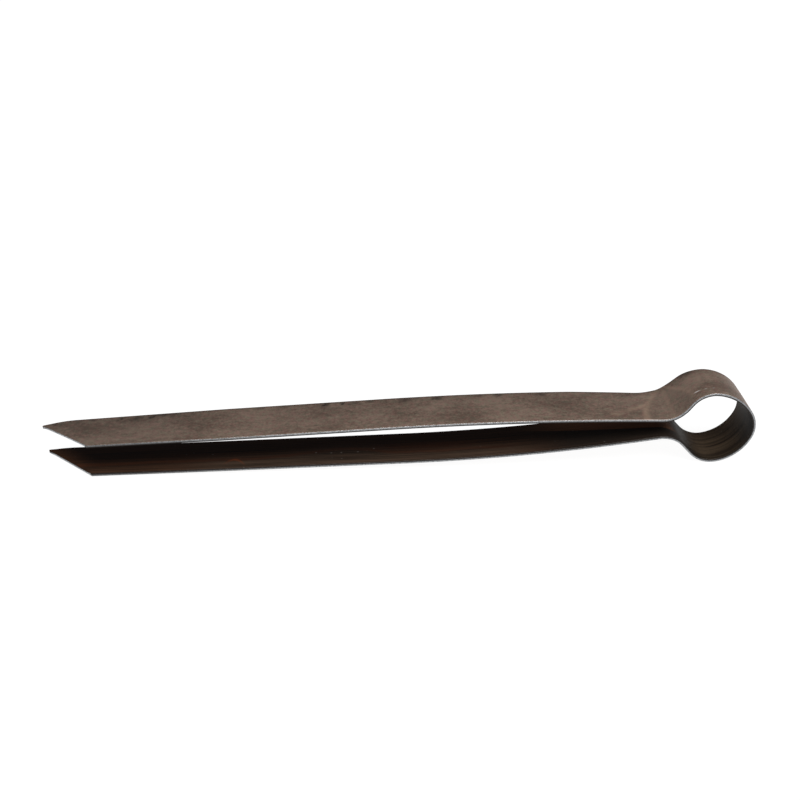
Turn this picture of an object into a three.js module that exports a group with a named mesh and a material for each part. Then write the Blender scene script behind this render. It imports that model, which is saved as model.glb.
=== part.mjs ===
// Stamp tongs: one strip of spring steel, folded round at its middle into a bow and bent in
// again behind it into a neck, with two bowed arms that end in flat blades cut to a point.
//
// Drawing frame, in millimetres: the origin is the centre of the bow, X runs along the tongs
// from the points (-) to the bow (+), Y across the strip and Z from the lower arm to the upper.
// Each half of the strip is a chain of bends and straights along the strip's mid-line, drawn
// as the upper half and turned over for the lower one. The strip bends where it is thin and
// free, so it is cut into sections there and each section hangs from the pivot it flexes on.

import * as THREE from 'three';

// ---- the strip ----
const OVERALL_LENGTH = 119.5;
const STRIP_WIDTH = 10;
const STRIP_THICKNESS = 0.5;

// ---- the bow: a rounded three-cornered ring, radii measured to the mid-line ----
const BOW_REACH = 6.1;
const CROWN_RADIUS = 4.55;
const CROWN_HALF_ANGLE = degrees(28);
const CHEEK_RADIUS = 7.45;
const CHEEK_END_ANGLE = degrees(82);
const SHOULDER_RADIUS = 4.6;
const NECK_RADIUS = 4.5;

// ---- the two arms: heights of the mid-line above or below the bow's centre ----
const BELLY_DISTANCE = 48;
const UPPER_ARM = {
  flankLength: 1,
  neckHeight: 2.05,
  bellyHeight: 3.4,
  pointHeight: 2.7,
  pointEase: 1.5,
  easeLength: 5.7,
};
const LOWER_ARM = {
  flankLength: 2.15,
  neckHeight: 1.15,
  bellyHeight: 3.2,
  pointHeight: 2.45,
  pointEase: 0.6,
  easeLength: 4.5,
};
const CUT_RUN = 9.5; // how far the near corner of a blade lies behind its point

// ---- where the strip flexes, and the break between two sections ----
const BOW_FLEX_SHARE = 0.64; // centroid of a half ring, as a share of its radius
const ARM_FLEX_DISTANCE = 24;
const SECTION_GAP = 0.3;

// ---- fineness of the faceted surfaces ----
const FACET_ANGLE = degrees(6);
const FACET_LENGTH = 6;

const POINT_X = BOW_REACH + STRIP_THICKNESS / 2 - OVERALL_LENGTH;

function degrees(angle) {
  return (angle * Math.PI) / 180;
}

function direction(angle) {
  return new THREE.Vector2(Math.cos(angle), Math.sin(angle));
}

// A round stretch of the mid-line. outward is +1 where its centre is inside the tongs.
function bend(centre, radius, startAngle, endAngle, outward) {
  const turn = Math.abs(endAngle - startAngle);
  const steps = Math.ceil(Math.max(turn / FACET_ANGLE, (turn * radius) / FACET_LENGTH));
  return Array.from({ length: steps + 1 }, (_, i) => {
    const radial = direction(startAngle + ((endAngle - startAngle) * i) / steps);
    return {
      point: centre.clone().addScaledVector(radial, radius),
      normal: radial.multiplyScalar(outward),
    };
  });
}

// A straight stretch of the mid-line, its normal pointing out of the tongs.
function straight(start, end) {
  const along = end.clone().sub(start).normalize();
  const normal = new THREE.Vector2(along.y, -along.x);
  return [start, end].map((point) => ({ point, normal }));
}

// One half of the mid-line as stretches, from the crown of the bow to the root of the blade.
function drawHalf(arm) {
  const crownCentre = new THREE.Vector2(BOW_REACH - CROWN_RADIUS, 0);
  const cheekCentre = crownCentre
    .clone()
    .addScaledVector(direction(CROWN_HALF_ANGLE), CROWN_RADIUS - CHEEK_RADIUS);
  const shoulderCentre = cheekCentre
    .clone()
    .addScaledVector(direction(CHEEK_END_ANGLE), CHEEK_RADIUS - SHOULDER_RADIUS);

  // The flank slopes just steeply enough to bring the neck to its height.
  const bends = SHOULDER_RADIUS + NECK_RADIUS;
  const fall = arm.neckHeight + NECK_RADIUS - shoulderCentre.y;
  const flankSlope =
    Math.acos(fall / Math.hypot(bends, arm.flankLength)) - Math.atan2(arm.flankLength, bends);
  const flankNormal = direction(Math.PI / 2 + flankSlope);
  const flankStart = shoulderCentre.clone().addScaledVector(flankNormal, SHOULDER_RADIUS);
  const flankAlong = direction(Math.PI + flankSlope);
  const flankEnd = flankStart.clone().addScaledVector(flankAlong, arm.flankLength);
  const neckCentre = flankEnd.clone().addScaledVector(flankNormal, NECK_RADIUS);

  // The belly is one long arc, level at its height and tangent to the neck.
  const rise = arm.bellyHeight - arm.neckHeight;
  const run = neckCentre.x + BELLY_DISTANCE;
  const bellyRadius = (run ** 2 + rise ** 2) / (2 * rise) - NECK_RADIUS;
  const bellyCentre = new THREE.Vector2(-BELLY_DISTANCE, arm.bellyHeight - bellyRadius);
  const neckEndAngle = neckCentre.clone().sub(bellyCentre).angle();

  // The blade is straight and leaves the belly tangent, towards the point.
  const point = new THREE.Vector2(POINT_X, arm.pointHeight);
  const toPoint = point.clone().sub(bellyCentre);
  const bladeAngle = toPoint.angle() - Math.acos(bellyRadius / toPoint.length());
  const bladeRoot = bellyCentre.clone().addScaledVector(direction(bladeAngle), bellyRadius);
  const angleAt = (x) => Math.acos((x + BELLY_DISTANCE) / bellyRadius);
  const belly = (startAngle, endAngle) =>
    bend(bellyCentre, bellyRadius, startAngle, endAngle, 1);

  const flankMiddle = flankStart.clone().lerp(flankEnd, 0.5);
  const halfGap = SECTION_GAP / 2;
  return {
    bow: [
      ...bend(crownCentre, CROWN_RADIUS, 0, CROWN_HALF_ANGLE, 1),
      ...bend(cheekCentre, CHEEK_RADIUS, CROWN_HALF_ANGLE, CHEEK_END_ANGLE, 1),
      ...bend(
        shoulderCentre, SHOULDER_RADIUS, CHEEK_END_ANGLE, Math.PI / 2 + flankSlope, 1
      ),
      ...straight(flankStart, flankMiddle.clone().addScaledVector(flankAlong, -halfGap)),
    ],
    neck: [
      ...straight(flankMiddle.clone().addScaledVector(flankAlong, halfGap), flankEnd),
      ...bend(neckCentre, NECK_RADIUS, flankSlope - Math.PI / 2, neckEndAngle - Math.PI, -1),
      ...belly(neckEndAngle, angleAt(halfGap - ARM_FLEX_DISTANCE)),
    ],
    arm: belly(angleAt(-halfGap - ARM_FLEX_DISTANCE), angleAt(bladeRoot.x + halfGap)),
    flexPoint: bellyCentre
      .clone()
      .addScaledVector(direction(angleAt(-ARM_FLEX_DISTANCE)), bellyRadius),
    bladeRoot,
    point,
    shoulderCentre,
  };
}

// The closed outline of a stretch of strip: out along its outer face, back along its inner.
function outline(stations, side) {
  const face = (offset) =>
    stations.map(({ point, normal }) => {
      const shifted = point.clone().addScaledVector(normal, offset);
      return new THREE.Vector2(shifted.x, shifted.y * side);
    });
  return {
    outer: withoutRepeats(face(STRIP_THICKNESS / 2)),
    inner: withoutRepeats(face(-STRIP_THICKNESS / 2)),
  };
}

function withoutRepeats(points) {
  return points.filter((point, i) => i === 0 || point.distanceTo(points[i - 1]) > 1e-4);
}

const SPRING_STEEL = { color: 0x6a5b50, roughness: 0.5, metalness: 0.9 };

function steelMesh(name, geometry) {
  const mesh = new THREE.Mesh(geometry, new THREE.MeshStandardMaterial(SPRING_STEEL));
  mesh.name = name;
  return mesh;
}

// A section of the profile, as wide as the strip.
function sectionMesh(name, points) {
  const geometry = new THREE.ExtrudeGeometry(new THREE.Shape(points), {
    depth: STRIP_WIDTH,
    bevelEnabled: false,
  });
  geometry.rotateX(Math.PI / 2);
  geometry.translate(0, STRIP_WIDTH / 2, 0);
  return steelMesh(name, geometry);
}

function bowMesh(upper, lower) {
  const top = outline(upper.bow, 1);
  const bottom = outline(lower.bow, -1);
  return sectionMesh('bow', [
    ...bottom.outer.reverse(),
    ...top.outer.slice(1),
    ...top.inner.reverse(),
    ...bottom.inner.slice(1),
  ]);
}

function stripMesh(name, stations, side) {
  const { outer, inner } = outline(stations, side);
  return sectionMesh(name, [...outer, ...inner.reverse()]);
}

// A blade is flat, so it is drawn in plan, from its root to its point, and laid in its place.
function bladeMesh(name, half, arm, side) {
  const edge = STRIP_WIDTH / 2;
  const length = half.bladeRoot.distanceTo(half.point);
  const easeRadius = (arm.easeLength ** 2 + arm.pointEase ** 2) / (2 * arm.pointEase);
  const easeStart = length - arm.easeLength;
  const easeAngle = Math.atan2(easeRadius - arm.pointEase, arm.easeLength);
  const plan = new THREE.Shape();
  plan.moveTo(SECTION_GAP / 2, -edge);
  plan.lineTo(length - CUT_RUN, -edge);
  plan.lineTo(length, edge - arm.pointEase);
  plan.absarc(easeStart, edge - easeRadius, easeRadius, easeAngle, Math.PI / 2, false);
  plan.lineTo(SECTION_GAP / 2, edge);
  plan.closePath();
  const geometry = new THREE.ExtrudeGeometry(plan, {
    depth: STRIP_THICKNESS,
    bevelEnabled: false,
    curveSegments: 8,
  });
  geometry.translate(0, 0, -STRIP_THICKNESS / 2);

  const along = half.point.clone().sub(half.bladeRoot).normalize();
  const alongBlade = new THREE.Vector3(along.x, 0, along.y * side);
  const acrossBlade = new THREE.Vector3(0, 1, 0);
  const throughBlade = alongBlade.clone().cross(acrossBlade);
  const blade = steelMesh(name, geometry);
  blade.setRotationFromMatrix(
    new THREE.Matrix4().makeBasis(alongBlade, acrossBlade, throughBlade)
  );
  blade.position.set(half.bladeRoot.x, 0, half.bladeRoot.y * side);
  return blade;
}

// A pivot stands where a stretch of strip flexes: its own Y axis is the axis of the bending.
function pivot(name, x, z) {
  const group = new THREE.Group();
  group.name = name;
  group.position.set(x, 0, z);
  return group;
}

// Neck, arm and blade of one half, hung on the two pivots that they flex about.
function buildSide(tongs, label, half, arm, side) {
  const bowFlex = pivot(`${label}_bow_flex`, 0, BOW_REACH * BOW_FLEX_SHARE * side);
  const armFlex = pivot(`${label}_arm_flex`, half.flexPoint.x, half.flexPoint.y * side);
  tongs.add(bowFlex);
  bowFlex.attach(armFlex);
  tongs.updateMatrixWorld(true);
  bowFlex.attach(stripMesh(`${label}_neck`, half.neck, side));
  armFlex.attach(stripMesh(`${label}_arm`, half.arm, side));
  armFlex.attach(bladeMesh(`${label}_blade`, half, arm, side));
}

// The tongs lie on the bottom of the bow and the point of the lower blade: this is the slope
// of the line that touches both.
function restingSlope(lower) {
  const bowBottom = new THREE.Vector2(lower.shoulderCentre.x, -lower.shoulderCentre.y);
  const pointUnderside = new THREE.Vector2(
    lower.point.x,
    -lower.point.y - STRIP_THICKNESS / 2
  );
  const toBow = bowBottom.sub(pointUnderside);
  const bowRadius = SHOULDER_RADIUS + STRIP_THICKNESS / 2;
  return Math.atan2(toBow.y, toBow.x) - Math.asin(bowRadius / toBow.length());
}

function buildTongs() {
  const upper = drawHalf(UPPER_ARM);
  const lower = drawHalf(LOWER_ARM);
  const tongs = new THREE.Group();
  tongs.add(bowMesh(upper, lower));
  buildSide(tongs, 'upper', upper, UPPER_ARM, 1);
  buildSide(tongs, 'lower', lower, LOWER_ARM, -1);

  // Laid on a level surface, with the origin under the middle of the whole.
  tongs.rotation.y = restingSlope(lower);
  tongs.updateMatrixWorld(true);
  const box = new THREE.Box3().setFromObject(tongs, true);
  const middle = box.getCenter(new THREE.Vector3());
  tongs.position.set(-middle.x, -middle.y, -box.min.z);
  tongs.updateMatrixWorld(true);
  return tongs;
}

export default buildTongs();
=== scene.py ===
import math

import bpy
from mathutils import Matrix, Vector


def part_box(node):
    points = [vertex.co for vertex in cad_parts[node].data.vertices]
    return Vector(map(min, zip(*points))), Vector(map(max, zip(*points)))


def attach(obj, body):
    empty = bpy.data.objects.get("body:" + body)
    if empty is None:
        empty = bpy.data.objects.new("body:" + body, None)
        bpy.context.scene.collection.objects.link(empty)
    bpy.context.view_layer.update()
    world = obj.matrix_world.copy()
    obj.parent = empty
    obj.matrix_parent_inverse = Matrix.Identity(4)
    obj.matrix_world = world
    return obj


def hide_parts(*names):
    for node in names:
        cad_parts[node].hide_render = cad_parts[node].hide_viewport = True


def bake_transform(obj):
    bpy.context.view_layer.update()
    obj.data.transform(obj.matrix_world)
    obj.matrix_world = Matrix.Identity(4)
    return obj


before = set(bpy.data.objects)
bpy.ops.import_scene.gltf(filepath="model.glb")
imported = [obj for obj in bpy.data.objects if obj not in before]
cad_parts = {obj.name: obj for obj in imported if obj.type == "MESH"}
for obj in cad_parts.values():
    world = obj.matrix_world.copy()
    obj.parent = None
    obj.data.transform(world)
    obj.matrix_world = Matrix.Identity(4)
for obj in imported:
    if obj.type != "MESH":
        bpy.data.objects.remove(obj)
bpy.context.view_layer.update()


# ---------------------------------------------------------------------------
# Table, light and camera. The tongs lie on the bottom of the bow and the lower point on a
# light table, under one broad softbox high in front, in a studio that is dim all round: their
# steel shows brown on top, nearly black between the arms and bright along its cut edges.
# ---------------------------------------------------------------------------
def linear(hex_colour):
    """The linear colour of an sRGB hex value."""
    parts = [int(hex_colour[i : i + 2], 16) / 255 for i in (0, 2, 4)]
    return tuple(
        c / 12.92 if c <= 0.04045 else ((c + 0.055) / 1.055) ** 2.4 for c in parts
    )


def node(tree, kind, *values, **settings):
    """Adds a node with its settings and gives back its first output. Values feed its inputs in
    order, or by name from a dictionary: each is a number, a hex colour or another's output."""
    made = tree.nodes.new(kind)
    for name, value in settings.items():
        setattr(made, name, value)
    if values and isinstance(values[0], dict):
        feeds = [(made.inputs[name], value) for name, value in values[0].items()]
    else:
        feeds = list(zip([socket for socket in made.inputs if socket.enabled], values))
    for socket, value in feeds:
        if isinstance(value, bpy.types.NodeSocket):
            tree.links.new(value, socket)
        elif isinstance(value, str) and socket.type == "RGBA":
            socket.default_value = (*linear(value), 1)
        else:
            socket.default_value = value
    return next((socket for socket in made.outputs if socket.enabled), None)


def place(name, data):
    """A new object at the origin."""
    made = bpy.data.objects.new(name, data)
    bpy.context.scene.collection.objects.link(made)
    return made


TABLE_HALF, TABLE_DROP = 4.0, 0.00002
TABLE_GLOW = 0.96
corners = ((-1, -1), (1, -1), (1, 1), (-1, 1))
table_mesh = bpy.data.meshes.new("table")
table_mesh.from_pydata(
    [(x * TABLE_HALF, y * TABLE_HALF, -TABLE_DROP) for x, y in corners], [], [(0, 1, 2, 3)]
)
table = place("table", table_mesh)

# Opal acrylic sheet, lit from beneath. The eye gets an even white without a shadow on it.
opal_acrylic = bpy.data.materials.new("opal_acrylic")
opal_acrylic.use_nodes = True
opal_shader = opal_acrylic.node_tree.nodes["Principled BSDF"]
opal_shader.inputs["Base Color"].default_value = (*linear("505050"), 1)
opal_shader.inputs["Roughness"].default_value = 0.9
opal_shader.inputs["Specular IOR Level"].default_value = 0.1
opal_shader.inputs["Emission Color"].default_value = (*linear("FFFFFF"), 1)
opal_shader.inputs["Emission Strength"].default_value = TABLE_GLOW
table_mesh.materials.append(opal_acrylic)

# A white backdrop all round, which the camera sees behind the table in a low view and which
# neither lights the tongs nor is mirrored in them.
BACKDROP_HALF, BACKDROP_FOOT = 3.9, -0.01
backdrop_mesh = bpy.data.meshes.new("backdrop")
backdrop_mesh.from_pydata(
    [
        (x * BACKDROP_HALF, y * BACKDROP_HALF, z)
        for z in (BACKDROP_FOOT, BACKDROP_HALF) for x, y in corners
    ],
    [],
    [(i, (i + 1) % 4, (i + 1) % 4 + 4, i + 4) for i in range(4)] + [(4, 5, 6, 7)],
)
backdrop = place("backdrop", backdrop_mesh)
backdrop.visible_diffuse = backdrop.visible_glossy = backdrop.visible_transmission = False
backdrop.visible_shadow = backdrop.visible_volume_scatter = False

# White cotton backdrop cloth, woven and evenly lit. The eye gets a plain white.
white_cloth = bpy.data.materials.new("white_cloth")
white_cloth.use_nodes = True
cloth_shader = white_cloth.node_tree.nodes["Principled BSDF"]
cloth_shader.inputs["Base Color"].default_value = (*linear("000000"), 1)
cloth_shader.inputs["Emission Color"].default_value = (*linear("FFFFFF"), 1)
cloth_shader.inputs["Emission Strength"].default_value = 1.0
backdrop_mesh.materials.append(white_cloth)

# The studio: dim walls all round, and one broad softbox high in front, a little to the right.
WALL_LIGHT = 0.16
SOFTBOX_STRENGTH, SOFTBOX_SPREAD = 4.1, math.radians(45)
SOFTBOX_ELEVATION, SOFTBOX_TURN = math.radians(60), math.radians(22)
studio = bpy.data.worlds.new("studio")
bpy.context.scene.world = studio
studio.use_nodes = True
studio.node_tree.nodes["Background"].inputs["Color"].default_value = (*linear("F6F8FF"), 1)
studio.node_tree.nodes["Background"].inputs["Strength"].default_value = WALL_LIGHT
softbox_light = bpy.data.lights.new("softbox", "SUN")
softbox_light.energy, softbox_light.angle = SOFTBOX_STRENGTH, SOFTBOX_SPREAD
softbox = place("softbox", softbox_light)
softbox.rotation_euler = (math.pi / 2 - SOFTBOX_ELEVATION, 0, SOFTBOX_TURN)

# A camera a hand's breadth away, looking down on the front edges of the arms.
VIEW_TURN, VIEW_ELEVATION, VIEW_ROLL = (
    math.radians(0.1078),
    math.radians(25.077),
    math.radians(-1.453),
)
VIEW_AIM, VIEW_DISTANCE = Vector((0.0014725, 0, 0.0104896)), 0.19751
backward = Vector((
    math.sin(VIEW_TURN) * math.cos(VIEW_ELEVATION),
    -math.cos(VIEW_TURN) * math.cos(VIEW_ELEVATION),
    math.sin(VIEW_ELEVATION),
))
level = Vector((0, 0, 1)).cross(backward).normalized()
upward = backward.cross(level)
right = level * math.cos(VIEW_ROLL) + upward * math.sin(VIEW_ROLL)
camera_data = bpy.data.cameras.new("camera")
camera_data.lens, camera_data.sensor_width = 53.386, 36
camera_data.clip_start, camera_data.clip_end = 0.005, 20
camera = place("camera", camera_data)
camera.matrix_world = Matrix.Translation(VIEW_AIM + backward * VIEW_DISTANCE) @ Matrix(
    (right, backward.cross(right), backward)
).transposed().to_4x4()
bpy.context.scene.camera = camera
bpy.context.scene.view_settings.view_transform = "Standard"


# ---------------------------------------------------------------------------
# Bow. The middle of a strip of spring steel, 10 mm wide and half a millimetre thick, folded
# round a former into a ring with three soft corners: the spring that opens the tongs. It is
# one strip with the arms, drawn as two halves that meet at the crown.
# ---------------------------------------------------------------------------
STRIP_WIDTH = 0.010
STRIP_THICKNESS = 0.0005
OVERALL_LENGTH = 0.1195

# The strip's mid-line in side view, from the bow's centre: X towards the bow, Y away from the
# other arm. Each half is a chain of bends and straights, drawn from the crown to the point.
BOW_REACH = 0.0061
CROWN_RADIUS, CROWN_END = 0.00455, math.radians(28)
CHEEK_RADIUS, CHEEK_END = 0.00745, math.radians(82)
SHOULDER_RADIUS = 0.0046
NECK_RADIUS = 0.0045
BELLY_DISTANCE = 0.048
POINT_X = BOW_REACH + STRIP_THICKNESS / 2 - OVERALL_LENGTH


def toward(angle):
    return Vector((math.cos(angle), math.sin(angle)))


def bend(centre, radius, start, end, outward):
    """A round stretch: its length, and the place and outward direction at a distance along it."""
    def at(distance):
        radial = toward(start + (end - start) * distance / (abs(end - start) * radius))
        return centre + radial * radius, radial * outward
    return abs(end - start) * radius, at


def straight(start, end):
    """A straight stretch in the same form."""
    along = (end - start).normalized()
    return (
        (end - start).length,
        lambda distance: (start + along * distance, Vector((along.y, -along.x))),
    )


def draw_half(flank_length, neck_height, belly_height, point_height):
    """The stretches of one half, and how far from the crown it is cut into its pieces."""
    crown = Vector((BOW_REACH - CROWN_RADIUS, 0))
    cheek = crown + toward(CROWN_END) * (CROWN_RADIUS - CHEEK_RADIUS)
    shoulder = cheek + toward(CHEEK_END) * (CHEEK_RADIUS - SHOULDER_RADIUS)
    bends = SHOULDER_RADIUS + NECK_RADIUS
    fall = neck_height + NECK_RADIUS - shoulder.y
    slope = math.acos(fall / math.hypot(bends, flank_length)) - math.atan2(flank_length, bends)
    off_flank = toward(math.pi / 2 + slope)
    flank_start = shoulder + off_flank * SHOULDER_RADIUS
    flank_end = flank_start + toward(math.pi + slope) * flank_length
    neck = flank_end + off_flank * NECK_RADIUS
    rise, run = belly_height - neck_height, neck.x + BELLY_DISTANCE
    belly_radius = (run**2 + rise**2) / (2 * rise) - NECK_RADIUS
    belly = Vector((-BELLY_DISTANCE, belly_height - belly_radius))
    neck_end = math.atan2(neck.y - belly.y, neck.x - belly.x)
    point = Vector((POINT_X, point_height))
    to_point = point - belly
    root_angle = math.atan2(to_point.y, to_point.x) - math.acos(belly_radius / to_point.length)
    root = belly + toward(root_angle) * belly_radius
    chain = [
        bend(crown, CROWN_RADIUS, 0, CROWN_END, 1),
        bend(cheek, CHEEK_RADIUS, CROWN_END, CHEEK_END, 1),
        bend(shoulder, SHOULDER_RADIUS, CHEEK_END, math.pi / 2 + slope, 1),
        straight(flank_start, flank_end),
        bend(neck, NECK_RADIUS, slope - math.pi / 2, neck_end - math.pi, -1),
        bend(belly, belly_radius, neck_end, root_angle, 1),
        straight(root, point),
    ]
    lengths = [length for length, _ in chain]
    flex_angle = math.acos((BELLY_DISTANCE - ARM_FLEX_DISTANCE) / belly_radius)
    return {
        "chain": chain,
        "shoulder": shoulder,
        "neck_starts": sum(lengths[:3]) + flank_length / 2,
        "arm_starts": sum(lengths[:5]) + (flex_angle - neck_end) * belly_radius,
        "blade_starts": sum(lengths[:6]),
        "ends": sum(lengths),
    }


def station(half, distance):
    """Where the mid-line is at a distance from the crown, and which way is out of the tongs."""
    for length, at in half["chain"]:
        if distance <= length:
            return at(distance)
        distance -= length
    return at(length)


ARM_FLEX_DISTANCE = 0.024
upper = draw_half(flank_length=0.001, neck_height=0.00205, belly_height=0.0034, point_height=0.0027)
lower = draw_half(
    flank_length=0.00215, neck_height=0.00115, belly_height=0.0032, point_height=0.00245
)
# What bending by hand has left: how far the far edge stands proud at the neck and along the
# arm, and how far the near edge is let in.
upper["bent"] = {"Neck lift": 0.001, "Far lift": 0.0003, "Near drop": 0.00028}
lower["bent"] = {"Neck lift": 0.0, "Far lift": 0.0, "Near drop": -0.00014}

# The tongs lie on the bottom of the bow and the point of the lower blade. The frame's blades
# say where the two points are.
lower_point = Vector((POINT_X, -station(lower, lower["ends"])[0].y - STRIP_THICKNESS / 2))
to_bow = Vector((lower["shoulder"].x, -lower["shoulder"].y)) - lower_point
resting_slope = (
    math.asin((SHOULDER_RADIUS + STRIP_THICKNESS / 2) / to_bow.length)
    - math.atan2(to_bow.y, to_bow.x)
)


def tilted(v):
    c, s = math.cos(resting_slope), math.sin(resting_slope)
    return Vector((v.x * c - v.y * s, v.x * s + v.y * c))


upper_point, upper_out = station(upper, upper["ends"])
upper_top = tilted(upper_point + upper_out * STRIP_THICKNESS / 2)
upper_under = tilted(upper_point - upper_out * STRIP_THICKNESS / 2)
lower_end, lower_out = station(lower, lower["ends"])
lower_under = tilted(
    Vector((lower_end.x, -lower_end.y)) + Vector((lower_out.x, -lower_out.y)) * STRIP_THICKNESS / 2,
)
laid = Vector((
    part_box("upper_blade")[0].x - min(upper_top.x, upper_under.x),
    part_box("lower_blade")[0].z - lower_under.y,
))

# The strip in section at one edge, from its outer face round to its inner one: the roll-over,
# the burnished wall and the broken foot that shears leave. Each point has its distance in from
# the edge and off the mid-line, and 1 where the steel is bare.
SHEARED_EDGE = [
    (0.00016, 0.00025, 0),
    (0.00010, 0.00025, 0),
    (0.00006, 0.000244, 0),
    (0.000026, 0.000226, 1),
    (0.000007, 0.000192, 1),
    (0, 0.00013, 1),
    (0, 0.00004, 1),
    (0.000004, -0.00005, 1),
    (0.000013, -0.00012, 1),
    (0.00003, -0.00019, 1),
    (0.000048, -0.000236, 1),
    (0.000072, -0.00025, 1),
    (0.00013, -0.00025, 0),
]
FACE_COLUMNS = 10


def section_outline():
    """The whole section as a closed line: its points' share of the width from the near edge to
    the far one, their distance in from the edge, their height, and 1 where bare."""
    points = [(0, inset, height, bare) for inset, height, bare in SHEARED_EDGE]
    for i in range(1, FACE_COLUMNS):
        points.append((i / FACE_COLUMNS, SHEARED_EDGE[-1][0], SHEARED_EDGE[-1][1], 0))
    points += [(1, inset, height, bare) for inset, height, bare in reversed(SHEARED_EDGE)]
    for i in range(FACE_COLUMNS - 1, 0, -1):
        points.append((i / FACE_COLUMNS, SHEARED_EDGE[0][0], SHEARED_EDGE[0][1], 0))
    return points


def line_mesh(name, places, closed, values):
    """A mesh line through places, with the named values stored on its points."""
    mesh = bpy.data.meshes.new(name)
    edges = (
        [(i, i + 1) for i in range(len(places) - 1)]
        + ([(len(places) - 1, 0)] if closed else [])
    )
    mesh.from_pydata(places, edges, [])
    for label, numbers in values.items():
        vector = hasattr(numbers[0], "__len__")
        stored = mesh.attributes.new(label, "FLOAT_VECTOR" if vector else "FLOAT", "POINT")
        flat = [c for n in numbers for c in n] if vector else numbers
        stored.data.foreach_set("vector" if vector else "value", flat)
    return mesh


outline = section_outline()
section = place(
    "section",
    line_mesh(
        "section",
        [
            (STRIP_WIDTH * (share - 0.5) + inset * (1 - 2 * share), height, 0)
            for share, inset, height, _ in outline
        ],
        True,
        {
            "share": [p[0] for p in outline],
            "inset": [p[1] for p in outline],
            "height": [p[2] for p in outline],
            "bare": [float(p[3]) for p in outline],
        },
    ),
)

# The strip as it comes from the shears and the former: its section swept along the mid-line,
# narrowed to the slanting cut and the eased far edge at the point, a little cupped by the
# slitting, a little wavy from hand bending, and nicked along its edges.
strip = bpy.data.node_groups.new("bent_strip", "GeometryNodeTree")
SIZES = (
    "Width", "Cut run", "Point ease", "Ease length", "Point round", "Point thinning",
    "Cupping", "Waviness", "Nick depth", "Neck lift", "Far lift", "Near drop",
)
strip_inputs = {"Run": "NodeSocketGeometry", "Section": "NodeSocketObject"}
strip_inputs |= {name: "NodeSocketFloat" for name in SIZES}
FINISHES = ("Outer finish", "Inner finish", "Edge finish")
strip_inputs |= {name: "NodeSocketMaterial" for name in FINISHES}
strip_ids = {
    name: strip.interface.new_socket(name=name, in_out="INPUT", socket_type=kind).identifier
    for name, kind in strip_inputs.items()
}
strip.interface.new_socket(name="Strip", in_out="OUTPUT", socket_type="NodeSocketGeometry")
given = node(strip, "NodeGroupInput").node.outputs

run_line = node(strip, "GeometryNodeMeshToCurve", {"Mesh": given["Run"]})
run_line = node(
    strip, "GeometryNodeStoreNamedAttribute",
    {"Geometry": run_line, "Name": "station", "Value": node(strip, "GeometryNodeInputPosition")},
    data_type="FLOAT_VECTOR",
)
section_line = node(
    strip, "GeometryNodeMeshToCurve",
    {
        "Mesh": node(
            strip, "GeometryNodeObjectInfo", {"Object": given["Section"]}
        ).node.outputs["Geometry"],
    },
)
swept = node(
    strip, "GeometryNodeCurveToMesh",
    {"Curve": run_line, "Profile Curve": section_line, "Fill Caps": True},
)

# Where the two edges of the strip stand, from how far the point is.
to_point = node(strip, "GeometryNodeInputNamedAttribute", "to_point", data_type="FLOAT")
half_width = node(strip, "ShaderNodeMath", given["Width"], 0.5, operation="MULTIPLY")
cut_share = node(
    strip, "ShaderNodeMath", 1.0,
    node(strip, "ShaderNodeMath", to_point, given["Cut run"], operation="DIVIDE"),
    operation="SUBTRACT", use_clamp=True,
)
near_edge = node(
    strip, "ShaderNodeMath",
    node(
        strip, "ShaderNodeMath", cut_share,
        node(strip, "ShaderNodeMath", given["Width"], given["Point ease"], operation="SUBTRACT"),
        operation="MULTIPLY",
    ),
    half_width, operation="SUBTRACT",
)
ease_radius = node(
    strip, "ShaderNodeMath",
    node(
        strip, "ShaderNodeMath",
        node(strip, "ShaderNodeMath", given["Ease length"], 2.0, operation="POWER"),
        node(strip, "ShaderNodeMath", given["Point ease"], 2.0, operation="POWER"),
        operation="ADD",
    ),
    node(strip, "ShaderNodeMath", given["Point ease"], 2.0, operation="MULTIPLY"),
    operation="DIVIDE",
)
into_ease = node(
    strip, "ShaderNodeMath",
    node(strip, "ShaderNodeMath", given["Ease length"], to_point, operation="SUBTRACT"),
    0.0, operation="MAXIMUM",
)
ease_rise = node(
    strip, "ShaderNodeMath",
    node(
        strip, "ShaderNodeMath",
        node(strip, "ShaderNodeMath", ease_radius, 2.0, operation="POWER"),
        node(strip, "ShaderNodeMath", into_ease, 2.0, operation="POWER"),
        operation="SUBTRACT",
    ),
    operation="SQRT",
)
far_edge = node(
    strip, "ShaderNodeMath",
    node(strip, "ShaderNodeMath", half_width, ease_radius, operation="SUBTRACT"),
    ease_rise, operation="ADD",
)
middle = node(
    strip, "ShaderNodeMath",
    node(strip, "ShaderNodeMath", near_edge, far_edge, operation="ADD"),
    0.5, operation="MULTIPLY",
)
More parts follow.
